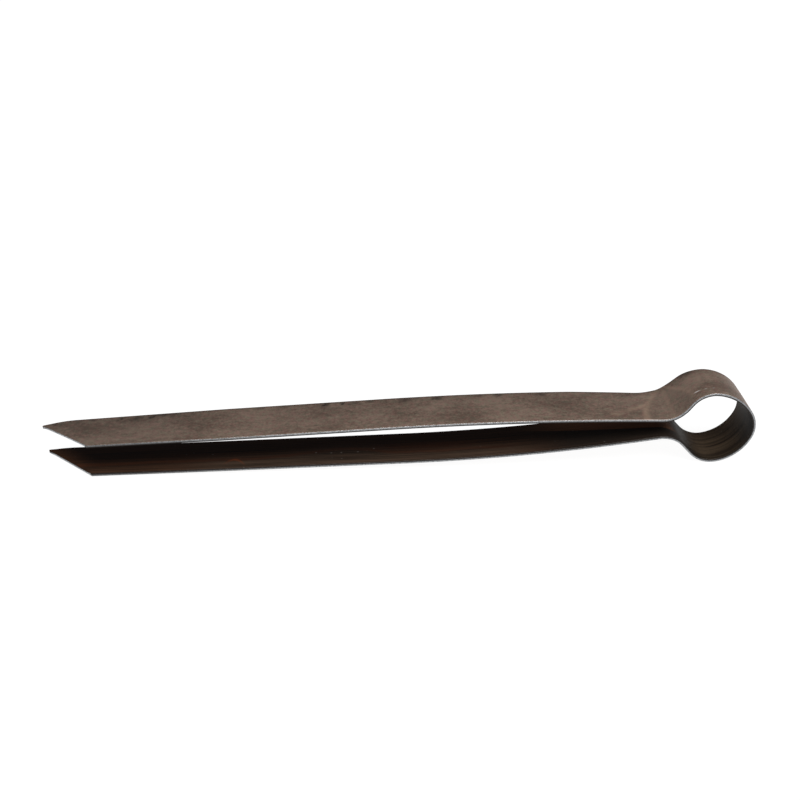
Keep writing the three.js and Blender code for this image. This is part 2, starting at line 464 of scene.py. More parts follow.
# The point is blunted: the half width is rounded off over ten times the rounding's radius.
sharp_half = node(
    strip, "ShaderNodeMath",
    node(strip, "ShaderNodeMath", far_edge, near_edge, operation="SUBTRACT"),
    0.5, operation="MULTIPLY",
)
blunting = node(
    strip, "ShaderNodeMath", 1.0,
    node(
        strip, "ShaderNodeMath", to_point,
        node(strip, "ShaderNodeMath", given["Point round"], 10.0, operation="MULTIPLY"),
        operation="DIVIDE",
    ),
    operation="SUBTRACT", use_clamp=True,
)
blunt_area = node(
    strip, "ShaderNodeMath",
    node(
        strip, "ShaderNodeMath",
        node(strip, "ShaderNodeMath", to_point, given["Point round"], operation="MULTIPLY"),
        2.0, operation="MULTIPLY",
    ),
    node(strip, "ShaderNodeMath", blunting, 2.0, operation="POWER"),
    operation="MULTIPLY",
)
half_here = node(
    strip, "ShaderNodeMath",
    node(
        strip, "ShaderNodeMath",
        node(strip, "ShaderNodeMath", sharp_half, 2.0, operation="POWER"),
        blunt_area, operation="ADD",
    ),
    operation="SQRT",
)

# Nicks push the bare edge in here and there, where their noise is past a level.
run_length = node(strip, "GeometryNodeInputNamedAttribute", "run", data_type="FLOAT")
nick_place = node(
    strip, "ShaderNodeCombineXYZ",
    {
        "X": run_length,
        "Y": node(strip, "GeometryNodeInputNamedAttribute", "share", data_type="FLOAT"),
        "Z": node(strip, "GeometryNodeInputNamedAttribute", "height", data_type="FLOAT"),
    },
)
NICKS_PER_METRE, NICK_LEVEL = 1900, 0.42
nick_noise = node(
    strip, "ShaderNodeTexNoise",
    {
        "Vector": node(
            strip, "ShaderNodeVectorMath",
            {0: nick_place, 1: (NICKS_PER_METRE, 9.0, NICKS_PER_METRE)},
            operation="MULTIPLY",
        ),
        "Scale": 1.0, "Detail": 2.0,
    },
)
nick = node(
    strip, "ShaderNodeMath",
    node(
        strip, "ShaderNodeMath",
        node(strip, "ShaderNodeMath", nick_noise, NICK_LEVEL, operation="SUBTRACT", use_clamp=True),
        given["Nick depth"], operation="MULTIPLY",
    ),
    node(strip, "GeometryNodeInputNamedAttribute", "bare", data_type="FLOAT"),
    operation="MULTIPLY",
)
inset = node(
    strip, "ShaderNodeMath",
    node(
        strip, "ShaderNodeMath",
        node(strip, "GeometryNodeInputNamedAttribute", "inset", data_type="FLOAT"),
        nick, operation="ADD",
    ),
    half_here, operation="MINIMUM",
)
share = node(strip, "GeometryNodeInputNamedAttribute", "share", data_type="FLOAT")
across = node(
    strip, "ShaderNodeMix",
    {
        "Factor": share,
        "A": node(
            strip, "ShaderNodeMath",
            node(strip, "ShaderNodeMath", middle, half_here, operation="SUBTRACT"),
            inset, operation="ADD",
        ),
        "B": node(
            strip, "ShaderNodeMath",
            node(strip, "ShaderNodeMath", middle, half_here, operation="ADD"),
            inset, operation="SUBTRACT",
        ),
    },
)

# Cupping and waviness only ever lean into the tongs, so the strip keeps its outer size.
cup = node(
    strip, "ShaderNodeMath",
    node(
        strip, "ShaderNodeMath",
        node(strip, "ShaderNodeMath", across, half_width, operation="DIVIDE"),
        2.0, operation="POWER",
    ),
    given["Cupping"], operation="MULTIPLY",
)
WAVE_LENGTH, WAVE_WIDTH = 0.011, 0.009
wave_noise = node(
    strip, "ShaderNodeTexNoise",
    {
        "Vector": node(
            strip, "ShaderNodeCombineXYZ",
            {
                "X": node(strip, "ShaderNodeMath", run_length, WAVE_LENGTH, operation="DIVIDE"),
                "Y": node(strip, "ShaderNodeMath", across, WAVE_WIDTH, operation="DIVIDE"),
            },
        ),
        "Scale": 1.0, "Detail": 1.0,
    },
)
lean = node(
    strip, "ShaderNodeMath", cup,
    node(strip, "ShaderNodeMath", wave_noise, given["Waviness"], operation="MULTIPLY"),
    operation="ADD",
)

# Bent by hand, a side takes its neck less sharply along its far edge than along its near one,
# so the far edge stands proud of the bend there. The arm behind it has kept a little twist,
# which fades towards the point. All these distances are from the crown.
HUMP_MIDDLE, HUMP_HALF = 0.0162, 0.0074
LIFT_START, LIFT_RAMP = 0.022, 0.012
DROP_START, DROP_FULL = 0.0155, 0.0200
FADE_END, FADE_RAMP = 0.122, 0.03
far_share = node(
    strip, "ShaderNodeMath",
    node(strip, "ShaderNodeMath", across, given["Width"], operation="DIVIDE"),
    0.5, operation="ADD", use_clamp=True,
)
from_neck = node(
    strip, "ShaderNodeMath",
    node(
        strip, "ShaderNodeMath",
        node(strip, "ShaderNodeMath", run_length, operation="ABSOLUTE"),
        LIFT_START, operation="SUBTRACT",
    ),
    1 / LIFT_RAMP, operation="MULTIPLY", use_clamp=True,
)
to_end = node(
    strip, "ShaderNodeMath",
    node(
        strip, "ShaderNodeMath", FADE_END,
        node(strip, "ShaderNodeMath", run_length, operation="ABSOLUTE"),
        operation="SUBTRACT",
    ),
    1 / FADE_RAMP, operation="MULTIPLY", use_clamp=True,
)
on_arm = node(strip, "ShaderNodeMath", from_neck, to_end, operation="MULTIPLY")
off_neck = node(
    strip, "ShaderNodeMath",
    node(
        strip, "ShaderNodeMath",
        node(strip, "ShaderNodeMath", run_length, operation="ABSOLUTE"),
        HUMP_MIDDLE, operation="SUBTRACT",
    ),
    HUMP_HALF, operation="DIVIDE",
)
on_neck = node(
    strip, "ShaderNodeMath",
    node(
        strip, "ShaderNodeMath", 1.0,
        node(strip, "ShaderNodeMath", off_neck, off_neck, operation="MULTIPLY"),
        operation="SUBTRACT", use_clamp=True,
    ),
    4.0, operation="POWER",
)
lift = node(
    strip, "ShaderNodeMath", far_share,
    node(
        strip, "ShaderNodeMath",
        node(strip, "ShaderNodeMath", on_neck, given["Neck lift"], operation="MULTIPLY"),
        node(strip, "ShaderNodeMath", on_arm, given["Far lift"], operation="MULTIPLY"),
        operation="ADD",
    ),
    operation="MULTIPLY",
)
past_neck = node(
    strip, "ShaderNodeMapRange",
    {
        "Value": node(strip, "ShaderNodeMath", run_length, operation="ABSOLUTE"),
        "From Min": DROP_START, "From Max": DROP_FULL,
    },
    interpolation_type="SMOOTHSTEP",
)
drop = node(
    strip, "ShaderNodeMath",
    node(strip, "ShaderNodeMath", 1.0, far_share, operation="SUBTRACT"),
    node(
        strip, "ShaderNodeMath",
        node(strip, "ShaderNodeMath", past_neck, to_end, operation="MULTIPLY"),
        given["Near drop"], operation="MULTIPLY",
    ),
    operation="MULTIPLY",
)
lean = node(
    strip, "ShaderNodeMath", lean,
    node(strip, "ShaderNodeMath", drop, lift, operation="SUBTRACT"),
    operation="ADD",
)

# The slanting cut has been thinned from the inside with a file.
THINNING_REACH, THINNING_ONSET = 0.14, 12.0
cut_side = node(
    strip, "ShaderNodeMath", 1.0,
    node(strip, "ShaderNodeMath", share, THINNING_REACH, operation="DIVIDE"),
    operation="SUBTRACT", use_clamp=True,
)
on_cut = node(
    strip, "ShaderNodeMath",
    node(strip, "ShaderNodeMath", cut_share, THINNING_ONSET, operation="MULTIPLY", use_clamp=True),
    cut_side, operation="MULTIPLY",
)
inside = node(
    strip, "ShaderNodeMath",
    node(
        strip, "ShaderNodeMath",
        node(strip, "GeometryNodeInputNamedAttribute", "height", data_type="FLOAT"),
        0.0, operation="MINIMUM",
    ),
    -STRIP_THICKNESS / 2, operation="DIVIDE",
)
thinning = node(
    strip, "ShaderNodeMath",
    node(strip, "ShaderNodeMath", on_cut, inside, operation="MULTIPLY"),
    given["Point thinning"], operation="MULTIPLY",
)
height_here = node(
    strip, "ShaderNodeMath",
    node(strip, "GeometryNodeInputNamedAttribute", "height", data_type="FLOAT"),
    thinning, operation="ADD",
)
off_middle = node(
    strip, "ShaderNodeVectorMath",
    {
        0: node(strip, "GeometryNodeInputNamedAttribute", "out", data_type="FLOAT_VECTOR"),
        "Scale": node(strip, "ShaderNodeMath", height_here, lean, operation="SUBTRACT"),
    },
    operation="SCALE",
)
offset = node(
    strip, "ShaderNodeVectorMath",
    {0: off_middle, 1: node(strip, "ShaderNodeCombineXYZ", {"Y": across})},
    operation="ADD",
)
shaped = node(
    strip, "GeometryNodeSetPosition",
    {
        "Geometry": swept,
        "Position": node(
            strip, "ShaderNodeVectorMath",
            {
                0: node(
                    strip, "GeometryNodeInputNamedAttribute", "station", data_type="FLOAT_VECTOR"
                ),
                1: offset,
            },
            operation="ADD",
        ),
    },
)

# "sheet" is the flat strip before it was bent: along, across and through, in metres.
shaped = node(
    strip, "GeometryNodeStoreNamedAttribute",
    {
        "Geometry": shaped, "Name": "sheet",
        "Value": node(
            strip, "ShaderNodeCombineXYZ",
            {
                "X": run_length, "Y": across,
                "Z": node(strip, "GeometryNodeInputNamedAttribute", "height", data_type="FLOAT"),
            },
        ),
    },
    data_type="FLOAT_VECTOR",
)
shaped = node(strip, "GeometryNodeRealizeInstances", {"Geometry": shaped})
for finish, label, operation, limit in (
    ("Outer finish", "height", "GREATER_THAN", -1.0),
    ("Inner finish", "height", "LESS_THAN", -0.0002),
    ("Edge finish", "bare", "GREATER_THAN", 0.99),
):
    shaped = node(
        strip, "GeometryNodeSetMaterial",
        {
            "Geometry": shaped, "Material": given[finish],
            "Selection": node(
                strip, "FunctionNodeCompare",
                {
                    "A": node(strip, "GeometryNodeInputNamedAttribute", label, data_type="FLOAT"),
                    "B": limit,
                },
                operation=operation,
            ),
        },
    )
node(strip, "NodeGroupOutput", {"Strip": shaped})

# Browned spring steel: cold-rolled, hardened and tempered strip under a thin brown oxide. The
# eye gets a dull brown-grey metal, cloudy over a few millimetres, grained like fine leather.
browned_steel = bpy.data.materials.new("browned_spring_steel")
browned_steel.use_nodes = True
steel = browned_steel.node_tree
browned_shader = steel.nodes["Principled BSDF"]
browned_shader.inputs["Metallic"].default_value = 0.65


def sheet_places():
    """The place on the flat strip in mm: as a vector, along it, across it, and from the crown."""
    flat = node(steel, "ShaderNodeAttribute", attribute_name="sheet").node.outputs["Vector"]
    flat = node(steel, "ShaderNodeVectorMath", {0: flat, "Scale": 1000.0}, operation="SCALE")
    axes = node(steel, "ShaderNodeSeparateXYZ", {0: flat}).node.outputs
    return (
        flat, axes["X"], axes["Y"],
        node(steel, "ShaderNodeMath", axes["X"], operation="ABSOLUTE"),
    )


sheet_mm, along_mm, across_mm, from_crown = sheet_places()


def grain(per_mm_along, per_mm_across, detail, seed, roughness=0.5):
    """Noise over the flat strip, with so many patches a millimetre each way, from 0 to 1."""
    place_in = node(
        steel, "ShaderNodeVectorMath",
        {0: sheet_mm, 1: (per_mm_along, per_mm_across, 60.0), 2: (seed, seed * 2.0, seed)},
        operation="MULTIPLY_ADD",
    )
    return node(
        steel, "ShaderNodeTexNoise",
        {"Vector": place_in, "Scale": 1.0, "Detail": detail, "Roughness": roughness},
    )


def band(value, centre, reach):
    """1 where value is centre, falling smoothly to 0 at reach away."""
    return node(
        steel, "ShaderNodeMapRange",
        node(
            steel, "ShaderNodeMath",
            node(steel, "ShaderNodeMath", value, centre, operation="SUBTRACT"),
            operation="ABSOLUTE",
        ),
        0.0, reach, 1.0, 0.0, interpolation_type="SMOOTHSTEP",
    )


clouds = grain(0.10, 0.2, 3.0, 3.0)
mottle = grain(1.1, 1.3, 3.0, 11.0, roughness=0.75)
speckle = grain(3.0, 3.0, 1.0, 17.0, roughness=0.7)
tint = grain(1.0, 1.2, 3.0, 29.0, roughness=0.75)

# The outer face: lighter over the bow and the neck and towards its near edge, darker towards
# the points and along its far edge.
tone = node(
    steel, "ShaderNodeMath",
    node(steel, "ShaderNodeMath", clouds, 0.45, operation="MULTIPLY"),
    node(steel, "ShaderNodeMath", mottle, 0.35, operation="MULTIPLY"),
    operation="ADD",
)
tone = node(
    steel, "ShaderNodeMapRange",
    node(
        steel, "ShaderNodeMath", tone,
        node(steel, "ShaderNodeMath", speckle, 0.2, operation="MULTIPLY"),
        operation="ADD",
    ),
    0.41, 0.59, 0.0, 1.0,
)
ruddy = node(steel, "ShaderNodeMix", tone, "6B5449", "91766A", data_type="RGBA")
olive = node(steel, "ShaderNodeMix", tone, "64584B", "897B6A", data_type="RGBA")
outer_brown = node(
    steel, "ShaderNodeMix",
    node(steel, "ShaderNodeMapRange", tint, 0.4, 0.6, 0.0, 1.0),
    ruddy, olive, data_type="RGBA",
)
outer_gradient = node(
    steel, "ShaderNodeMath",
    node(
        steel, "ShaderNodeMapRange", from_crown, 22.0, 36.0, 1.14, 1.0,
        interpolation_type="SMOOTHSTEP",
    ),
    node(
        steel, "ShaderNodeMapRange", from_crown, 88.0, 106.0, 1.0, 0.86,
        interpolation_type="SMOOTHSTEP",
    ),
    operation="MULTIPLY",
)
outer_gradient = node(
    steel, "ShaderNodeMath", outer_gradient,
    node(steel, "ShaderNodeMapRange", across_mm, -5.0, 5.0, 1.1, 0.87),
    operation="MULTIPLY",
)
outer_gradient = node(
    steel, "ShaderNodeMath", outer_gradient,
    node(
        steel, "ShaderNodeMapRange", across_mm, 4.2, 4.95, 1.0, 0.7, interpolation_type="SMOOTHSTEP"
    ),
    operation="MULTIPLY",
)
outer_brown = node(steel, "ShaderNodeVectorMath", outer_brown, outer_gradient, operation="SCALE")

# Black oxide spots, most of them along the upper side's far edge where damp has crept in: how
# far along and across each is, how long, how wide and how dark.
astray = node(
    steel, "ShaderNodeMath",
    node(steel, "ShaderNodeMath", grain(1.4, 1.4, 2.0, 31.0), 0.5, operation="SUBTRACT"),
    2.4, operation="MULTIPLY",
)
spot_along, spot_across = (
    node(steel, "ShaderNodeMath", along_mm, astray, operation="ADD"),
    node(
        steel, "ShaderNodeMath", across_mm,
        node(steel, "ShaderNodeMath", astray, 0.6, operation="MULTIPLY"),
        operation="SUBTRACT",
    ),
)
spotted = node(
    steel, "ShaderNodeMapRange",
    grain(1.6, 1.6, 1.0, 37.0),
    0.72, 0.8, 0.0, 0.25, interpolation_type="SMOOTHSTEP",
)
for spot in (
    (12.5, 4.4, 1.4, 0.8, 0.4), (23.8, 4.0, 2.2, 0.8, 0.35), (38.5, 4.1, 1.1, 0.8, 0.5),
    (45.9, 4.4, 1.0, 0.7, 0.5), (49.2, 4.3, 0.8, 0.6, 0.4), (56.2, 4.2, 1.2, 0.8, 0.6),
    (58.9, 2.4, 0.4, 0.5, 0.3), (59.8, -0.9, 0.4, 0.3, 0.35), (61.7, 4.1, 1.5, 0.9, 0.5),
    (67.7, 4.4, 0.7, 0.5, 0.35), (70.3, 4.0, 1.3, 0.6, 0.4), (72.2, 4.1, 0.5, 0.5, 0.7),
    (75.2, 4.1, 0.5, 0.7, 0.75), (75.4, 2.9, 0.4, 0.8, 0.3), (82.2, 4.4, 1.3, 0.6, 0.4),
    (86.1, 4.3, 0.7, 0.5, 0.45), (102.5, 4.4, 3.0, 0.7, 0.4), (104.8, 4.0, 0.5, 0.6, 0.7),
    (107.7, 3.7, 1.0, 0.7, 0.5), (110.3, 4.0, 0.6, 0.5, 0.65), (115.2, 4.3, 0.7, 0.5, 0.5),
    (121.7, 3.5, 0.6, 0.5, 0.5), (-31.0, -3.9, 1.5, 0.8, 0.5), (-47.5, 3.6, 1.1, 0.9, 0.6),
    (-72.0, -4.2, 1.8, 0.7, 0.5), (-95.0, 2.9, 0.8, 0.8, 0.5),
):
    one = node(
        steel, "ShaderNodeMath",
        band(spot_along, spot[0], spot[2] * 1.4),
        band(spot_across, spot[1], spot[3] * 1.4),
        operation="MULTIPLY",
    )
    spotted = node(
        steel, "ShaderNodeMath", spotted,
        node(steel, "ShaderNodeMath", one, spot[4] * 1.25, operation="MULTIPLY"),
        operation="MAXIMUM",
    )
outer_brown = node(steel, "ShaderNodeMix", spotted, outer_brown, "1C1815", data_type="RGBA")

# Where the bender bore on the neck the oxide is rubbed pale: a line straight across the strip,
# one to each side that curves away from its far end, and a patch behind them.
front_across, rear_across = (
    node(steel, "ShaderNodeMath", across_mm, 3.5, operation="ADD"),
    node(steel, "ShaderNodeMath", across_mm, 4.4, operation="ADD"),
)
front_line = node(
    steel, "ShaderNodeMath", 13.0,
    node(
        steel, "ShaderNodeMath",
        node(steel, "ShaderNodeMath", front_across, front_across, operation="MULTIPLY"),
        0.06, operation="MULTIPLY",
    ),
    operation="ADD",
)
rear_line = node(
    steel, "ShaderNodeMath", 22.0,
    node(
        steel, "ShaderNodeMath",
        node(steel, "ShaderNodeMath", rear_across, rear_across, operation="MULTIPLY"),
        0.04, operation="MULTIPLY",
    ),
    operation="SUBTRACT",
)
between = node(
    steel, "ShaderNodeMath",
    node(
        steel, "ShaderNodeMapRange",
        node(steel, "ShaderNodeMath", along_mm, front_line, operation="SUBTRACT"),
        0.0, 0.6, 0.0, 1.0, interpolation_type="SMOOTHSTEP",
    ),
    node(
        steel, "ShaderNodeMapRange",
        node(steel, "ShaderNodeMath", rear_line, along_mm, operation="SUBTRACT"),
        0.0, 0.6, 0.0, 1.0, interpolation_type="SMOOTHSTEP",
    ),
    operation="MULTIPLY",
)
outer_brown = node(
    steel, "ShaderNodeMix",
    node(steel, "ShaderNodeMath", between, 0.25, operation="MULTIPLY"),
    outer_brown, "75685B", data_type="RGBA",
)
rubbed = node(
    steel, "ShaderNodeMath",
    band(along_mm, front_line, 0.9),
    node(
        steel, "ShaderNodeMapRange", across_mm, -3.5, 0.0, 0.1, 0.6, interpolation_type="SMOOTHSTEP"
    ),
    operation="MULTIPLY",
)
rear = node(
    steel, "ShaderNodeMath",
    band(along_mm, rear_line, 1.0),
    node(
        steel, "ShaderNodeMapRange", across_mm, -2.0, 4.0, 1.0, 0.4, interpolation_type="SMOOTHSTEP"
    ),
    operation="MULTIPLY",
)
rubbed = node(steel, "ShaderNodeMath", rubbed, rear, operation="MAXIMUM")
rubbed = node(
    steel, "ShaderNodeMath", rubbed,
    node(steel, "ShaderNodeMath", band(along_mm, 17.6, 0.8), 0.35, operation="MULTIPLY"),
    operation="MAXIMUM",
)
patch_line = node(
    steel, "ShaderNodeMath", 0.0,
    node(
        steel, "ShaderNodeMath",
        node(steel, "ShaderNodeMath", along_mm, 21.5, operation="SUBTRACT"),
        0.5, operation="MULTIPLY",
    ),
    operation="SUBTRACT",
)
patch = node(
    steel, "ShaderNodeMath",
    band(across_mm, patch_line, 1.1),
    node(
        steel, "ShaderNodeMapRange", along_mm, 21.5, 28.5, 1.0, 0.0, interpolation_type="SMOOTHSTEP"
    ),
    operation="MULTIPLY",
)
patch = node(
    steel, "ShaderNodeMath", patch,
    node(steel, "ShaderNodeMath", along_mm, 21.5, operation="GREATER_THAN"),
    operation="MULTIPLY",
)
rubbed = node(steel, "ShaderNodeMath", rubbed, patch, operation="MAXIMUM")
rubbed = node(
    steel, "ShaderNodeMath", rubbed,
    node(
        steel, "ShaderNodeMath",
        node(
            steel, "ShaderNodeMath",
            band(along_mm, 26.8, 1.6),
            band(across_mm, -3.0, 1.0),
            operation="MULTIPLY",
        ),
        0.9, operation="MULTIPLY",
    ),
    operation="MAXIMUM",
)
outer_brown = node(
    steel, "ShaderNodeMix",
    node(steel, "ShaderNodeMath", rubbed, 0.42, operation="MULTIPLY"),
    outer_brown, "BA9C86", data_type="RGBA",
)

# Three short scratches down to bare steel on top of the bow.
for scratch_along, scratch_across, scratch_length, scratch_depth in (
    (12.3, -2.65, 0.75, 1.0), (10.9, -2.75, 0.35, 0.4), (9.7, -2.85, 0.3, 0.4),
):
    scratch = node(
        steel, "ShaderNodeMath",
        band(along_mm, scratch_along, scratch_length),
        band(across_mm, scratch_across, 0.2),
        operation="MULTIPLY",
    )
    outer_brown = node(
        steel, "ShaderNodeMix",
        node(steel, "ShaderNodeMath", scratch, scratch_depth, operation="MULTIPLY"),
        outer_brown, "F1EEE8", data_type="RGBA",
    )

steel.links.new(outer_brown, browned_shader.inputs["Base Color"])
steel.links.new(
    node(steel, "ShaderNodeMapRange", mottle, 0.3, 0.7, 0.46, 0.56),
    browned_shader.inputs["Roughness"],
)
relief = node(
    steel, "ShaderNodeMath",
    node(steel, "ShaderNodeMath", mottle, 0.5, operation="MULTIPLY"),
    node(steel, "ShaderNodeMath", speckle, 0.3, operation="MULTIPLY"),
    operation="ADD",
)
relief = node(
    steel, "ShaderNodeMath", relief,
    node(steel, "ShaderNodeMath", spotted, 0.6, operation="MULTIPLY"),
    operation="SUBTRACT",
)
steel.links.new(
    node(steel, "ShaderNodeBump", {"Height": relief, "Strength": 0.35, "Distance": 0.00002}),
    browned_shader.inputs["Normal"],
)

# Scaled spring steel: the inner face still has the black-brown scale of the hardening oven,
# which hands never reached. The eye gets a nearly black face with hardly any shine, streaked
# all along by the rolling. Its colour also holds painted light and shade: a browner band of
# painted front light along its near edge, behind a wandering border that is the painted edge
# of the other arm's shadow, and painted shade beyond it.
scaled_steel = bpy.data.materials.new("scaled_spring_steel")
scaled_steel.use_nodes = True
steel = scaled_steel.node_tree
scaled_shader = steel.nodes["Principled BSDF"]
scaled_shader.inputs["Metallic"].default_value = 0.3
scaled_shader.inputs["Specular IOR Level"].default_value = 0.05
sheet_mm, along_mm, across_mm, from_crown = sheet_places()
rolling = grain(0.05, 4.0, 3.0, 23.0, roughness=0.6)
wander = node(
    steel, "ShaderNodeMath",
    node(steel, "ShaderNodeMath", grain(0.12, 0.0, 2.0, 41.0), 0.5, operation="SUBTRACT"),
    1.6, operation="MULTIPLY",
)
# The edge of the other arm's painted shadow, wandering along the arm and further towards the far
# edge in its middle.
arm_shadow_edge = node(
    steel, "ShaderNodeMath",
    node(
        steel, "ShaderNodeMath", -2.1,
        node(steel, "ShaderNodeMath", band(from_crown, 74.0, 13.0), 1.9, operation="MULTIPLY"),
        operation="ADD",
    ),
    wander, operation="ADD",
)
past_arm_shadow_edge = node(steel, "ShaderNodeMath", arm_shadow_edge, across_mm, operation="SUBTRACT")
streak = node(steel, "ShaderNodeMapRange", rolling, 0.36, 0.64, 0.0, 1.0)
# Shaded and lit copies of the scale's streaked colour.
inner_shaded = node(steel, "ShaderNodeMix", streak, "25150B", "4A3020", data_type="RGBA")
inner_lit = node(steel, "ShaderNodeMix", streak, "2D231B", "524135", data_type="RGBA")
# Painted front light on the near side of the painted shadow edge: none at the neck, full along the
# arm, weaker towards the point.
painted_front_light = node(
    steel, "ShaderNodeMath",
    node(
        steel, "ShaderNodeMapRange", from_crown, 31.0, 50.0, 0.0, 1.0,
        interpolation_type="SMOOTHSTEP",
    ),
    node(
        steel, "ShaderNodeMapRange", from_crown, 90.0, 104.0, 1.0, 0.3,
        interpolation_type="SMOOTHSTEP",
    ),
    operation="MULTIPLY",
)
painted_front_light = node(
    steel, "ShaderNodeMath", painted_front_light,
    node(
        steel, "ShaderNodeMapRange", past_arm_shadow_edge, -3.2, 0.9, 0.0, 1.0,
        interpolation_type="SMOOTHSTEP",
    ),
    operation="MULTIPLY",
)
inner_brown = node(steel, "ShaderNodeMix", painted_front_light, inner_shaded, inner_lit, data_type="RGBA")
# A painted reddish reflection along the painted shadow edge, beyond about 40 mm from the crown.
painted_rim_reflection = node(
    steel, "ShaderNodeMath",
    band(past_arm_shadow_edge, -0.3, 0.9),
    node(
        steel, "ShaderNodeMapRange", from_crown, 40.0, 50.0, 0.0, 0.4,
        interpolation_type="SMOOTHSTEP",
    ),
    operation="MULTIPLY",
)
inner_brown = node(steel, "ShaderNodeMix", painted_rim_reflection, inner_brown, "542B17", data_type="RGBA")
# A painted reddish reflection between the arms, in the middle of the inner face.
painted_interreflection = node(
    steel, "ShaderNodeMath",
    band(from_crown, 58.0, 14.0),
    band(across_mm, 0.2, 2.0),
    operation="MULTIPLY",
)
inner_brown = node(
    steel, "ShaderNodeMix",
    node(steel, "ShaderNodeMath", painted_interreflection, 0.5, operation="MULTIPLY"),
    inner_brown, "4E2A18", data_type="RGBA",
)

# Behind the neck, under the upper neck, the colour holds painted shade: blue-black near the
# bender's side with a darker line along its border, and a painted reddish reflection on the far.
neck_shade_line = node(
    steel, "ShaderNodeMath", -1.7,
    node(
        steel, "ShaderNodeMath",
        node(steel, "ShaderNodeMath", from_crown, 20.0, operation="SUBTRACT"),
        0.19, operation="MULTIPLY",
    ),
    operation="ADD",
)
past_neck_shade_line = node(steel, "ShaderNodeMath", across_mm, neck_shade_line, operation="SUBTRACT")
neck_shade_and_reflection = node(
    steel, "ShaderNodeMix",
    node(
        steel, "ShaderNodeMapRange", past_neck_shade_line, -0.25, 0.35, 0.0, 1.0,
        interpolation_type="SMOOTHSTEP",
    ),
    "1D1916", "82583C", data_type="RGBA",
)
neck_shade_and_reflection = node(
    steel, "ShaderNodeMix",
    node(steel, "ShaderNodeMath", band(past_neck_shade_line, 0.0, 0.35), 0.7, operation="MULTIPLY"),
    neck_shade_and_reflection, "0F0B09", data_type="RGBA",
)
neck_shade_and_reflection = node(
    steel, "ShaderNodeMix",
    node(steel, "ShaderNodeMath", streak, 0.3, operation="MULTIPLY"),
    neck_shade_and_reflection, "453A30", data_type="RGBA",
)
# Towards the neck the painted shade and reflection take over the face.
inner_brown = node(
    steel, "ShaderNodeMix",
    node(
        steel, "ShaderNodeMapRange", from_crown, 33.0, 45.0, 0.9, 0.0,
        interpolation_type="SMOOTHSTEP",
    ),
    inner_brown, neck_shade_and_reflection, data_type="RGBA",
)

# Inside the bow it is a greyer brown, with two darker rolling streaks.
bow_brown = node(steel, "ShaderNodeMix", streak, "33291F", "5A4B3B", data_type="RGBA")
bow_streaks = node(
    steel, "ShaderNodeMath",
    band(across_mm, -0.4, 0.6),
    node(steel, "ShaderNodeMath", band(across_mm, -3.1, 0.9), 0.8, operation="MULTIPLY"),
    operation="MAXIMUM",
)
bow_streaks = node(
    steel, "ShaderNodeMath", bow_streaks,
    node(
        steel, "ShaderNodeMapRange", from_crown, 8.0, 11.0, 0.65, 0.0,
        interpolation_type="SMOOTHSTEP",
    ),
    operation="MULTIPLY",
)
bow_brown = node(steel, "ShaderNodeMix", bow_streaks, bow_brown, "20140D", data_type="RGBA")
# Painted shade and light inside the bow: darker towards the near edge, at the crown and on the
# flank under the upper neck, lighter towards the far edge.
bow_brown = node(
    steel, "ShaderNodeVectorMath", bow_brown,
    node(
        steel, "ShaderNodeMath",
        node(steel, "ShaderNodeMapRange", across_mm, -4.0, 4.0, 0.5, 1.9),
        node(
            steel, "ShaderNodeMath",
            node(steel, "ShaderNodeMapRange", from_crown, 0.5, 4.5, 0.3, 1.0),
            node(steel, "ShaderNodeMapRange", from_crown, 11.0, 14.0, 1.0, 0.45),
            operation="MULTIPLY",
        ),
        operation="MULTIPLY",
    ),
    operation="SCALE",
)
inner_brown = node(
    steel, "ShaderNodeMix",
    node(
        steel, "ShaderNodeMapRange", from_crown, 16.5, 18.5, 1.0, 0.0,
        interpolation_type="SMOOTHSTEP",
    ),
    inner_brown, bow_brown, data_type="RGBA",
)

# Specks of bare steel and one curled smear of rust on the lower inner face.
speckled = node(
    steel, "ShaderNodeMapRange",
    grain(2.4, 2.4, 0.0, 43.0),
    0.84, 0.9, 0.0, 0.35, interpolation_type="SMOOTHSTEP",
)
for speck in ((-67.8, -0.1), (-70.5, -1.0), (-73.3, -1.05), (-75.0, -1.0), (-77.6, -0.7)):
    one = node(
        steel, "ShaderNodeMath",
        band(along_mm, speck[0], 0.22),
        band(across_mm, speck[1], 0.22),
        operation="MULTIPLY",
    )
    speckled = node(
        steel, "ShaderNodeMath", speckled,
        node(steel, "ShaderNodeMath", one, 0.5, operation="MULTIPLY"),
        operation="MAXIMUM",
    )
inner_brown = node(steel, "ShaderNodeMix", speckled, inner_brown, "A8A59F", data_type="RGBA")
curl_along = node(steel, "ShaderNodeMath", along_mm, 91.3, operation="ADD")
curl_line = node(
    steel, "ShaderNodeMath", -2.0,
    node(
        steel, "ShaderNodeMath",
        node(steel, "ShaderNodeMath", curl_along, curl_along, operation="MULTIPLY"),
        0.5, operation="MULTIPLY",
    ),
    operation="SUBTRACT",
)
curl = node(
    steel, "ShaderNodeMath",
    band(across_mm, curl_line, 0.6),
    band(curl_along, 0.2, 2.2),
    operation="MULTIPLY",
)
inner_brown = node(
    steel, "ShaderNodeMix",
    node(steel, "ShaderNodeMath", curl, 0.8, operation="MULTIPLY"),
    inner_brown, "7A4024", data_type="RGBA",
)

